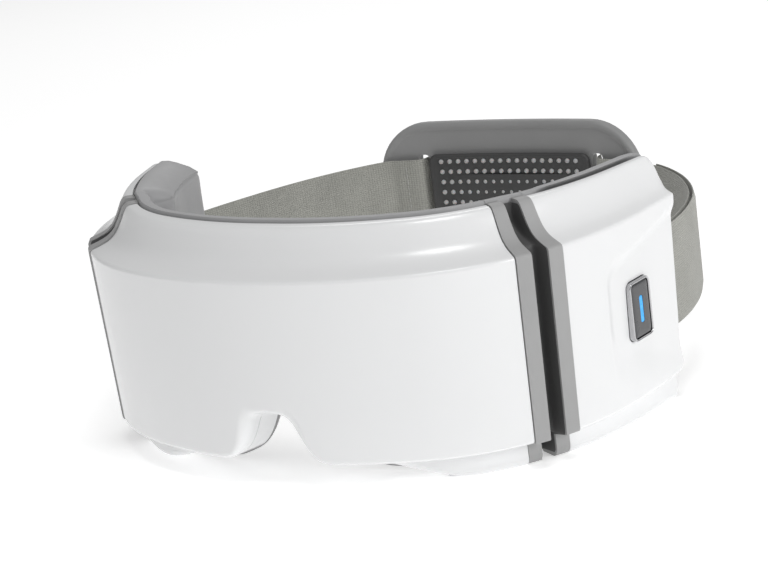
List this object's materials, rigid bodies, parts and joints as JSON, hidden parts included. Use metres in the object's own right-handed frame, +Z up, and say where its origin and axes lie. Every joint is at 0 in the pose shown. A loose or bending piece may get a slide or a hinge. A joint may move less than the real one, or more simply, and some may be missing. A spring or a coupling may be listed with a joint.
{
  "type": "eye massager mask",
  "caption": "Wrap-round eye massager: white centre housing with a nose arch, two folding temple wings, soft liner, side power button, head strap and nubbed rear pad.",
  "frame": {"origin": "middle of the whole object's bounding box in plan, on the surface the mask stands on (the flat underside of the lower lip)", "axes": "-Y is the way the mask faces, +X is the wearer's left (the wing with the power button), +Z is up"},
  "size_m": [0.2086, 0.2032, 0.0856],
  "materials": {
    "shell_white": "smooth satin-gloss white",
    "liner_grey": "soft-touch silicone skin, light grey",
    "flange_grey": "matt moulded rubber",
    "bellows_dark": "matt dark rubber",
    "chrome": "bright plated",
    "button_dark": "satin dark grey",
    "light_blue": "translucent blue light guide",
    "strap_fabric": "fine matt elastic weave, grey",
    "pad_grey": "matt silicone",
    "nub_dark": "matt silicone with small nubs",
    "board_green": "circuit board",
    "steel": "plain metal",
    "airbag_film": "thin soft film",
    "heater_film": "thin flexible heater",
    "cell_wrap": "shrink wrap",
    "plastic_black": "moulded black",
    "tube_clear": "clear silicone tube"
  },
  "bodies": {
    "centre": {"front_shell": "shell_white", "rear_shell": "shell_white", "nose_bridge": "shell_white", "face_liner": "liner_grey", "centre_flange_left": "flange_grey", "centre_flange_right": "flange_grey", "fold_bellows_left": "bellows_dark", "fold_bellows_right": "bellows_dark", "main_board": "board_green", "air_pump": "steel", "vibration_motor_left": "steel", "vibration_motor_right": "steel", "screw_upper_left": "steel", "screw_upper_right": "steel", "screw_lower_left": "steel", "screw_lower_right": "steel", "charging_port": "steel", "airbag_left": "airbag_film", "airbag_right": "airbag_film", "heating_film_left": "heater_film", "heating_film_right": "heater_film", "board_chip": "plastic_black", "solenoid_valve": "plastic_black", "air_manifold": "plastic_black", "pump_tube": "tube_clear", "valve_tube": "tube_clear", "airbag_tube_left": "tube_clear", "airbag_tube_right": "tube_clear"},
    "wing_left": {"wing_shell_left": "shell_white", "wing_back_left": "shell_white", "temple_liner_left": "liner_grey", "wing_flange_left": "flange_grey", "temple_airbag_left": "airbag_film", "speaker_left": "plastic_black", "strap_bar_left": "steel", "button_bezel": "chrome", "tact_switch": "plastic_black", "button_board": "board_green"},
    "wing_right": {"wing_shell_right": "shell_white", "wing_back_right": "shell_white", "temple_liner_right": "liner_grey", "wing_flange_right": "flange_grey", "temple_airbag_right": "airbag_film", "speaker_right": "plastic_black", "strap_bar_right": "steel", "battery": "cell_wrap"},
    "power_button": {"power_button": "button_dark", "light_bar": "light_blue"},
    "strap": {"strap_left": "strap_fabric", "strap_right": "strap_fabric", "strap_tail": "strap_fabric"},
    "rear_pad": {"rear_pad": "pad_grey", "nub_panel": "nub_dark", "strap_middle": "strap_fabric"}
  },
  "joints": [
    {"name": "fold_left", "type": "hinge", "parent": "centre", "child": "wing_left", "pos_m": [0.06854, -0.05234, 0.0425], "axis": [0, 0, 1], "range_deg": [0, 60], "stiffness_Nm_per_rad": 0.01, "deforming": ["fold_bellows_left", "strap_left", "strap_tail"]},
    {"name": "fold_right", "type": "hinge", "parent": "centre", "child": "wing_right", "pos_m": [-0.06854, -0.05234, 0.0425], "axis": [0, 0, -1], "range_deg": [0, 60], "stiffness_Nm_per_rad": 0.01, "deforming": ["fold_bellows_right", "strap_right"]},
    {"name": "button_press", "type": "slide", "parent": "wing_left", "child": "power_button", "axis": [-0.9878, 0.1557, 0], "range_m": [0, 0.0005], "stiffness_N_per_m": 1500},
    {"name": "strap_fit", "type": "slide", "parent": "centre", "child": "strap", "axis": [0, -1, 0], "range_m": [0, 0.015], "deforming": ["strap_left", "strap_right", "strap_tail"]},
    {"name": "pad_tilt", "type": "hinge", "parent": "strap", "child": "rear_pad", "pos_m": [0, 0.09738, 0.0423], "axis": [1, 0, 0], "range_deg": [-5, 5], "deforming": ["strap_left", "strap_right", "strap_tail"]}
  ]
}
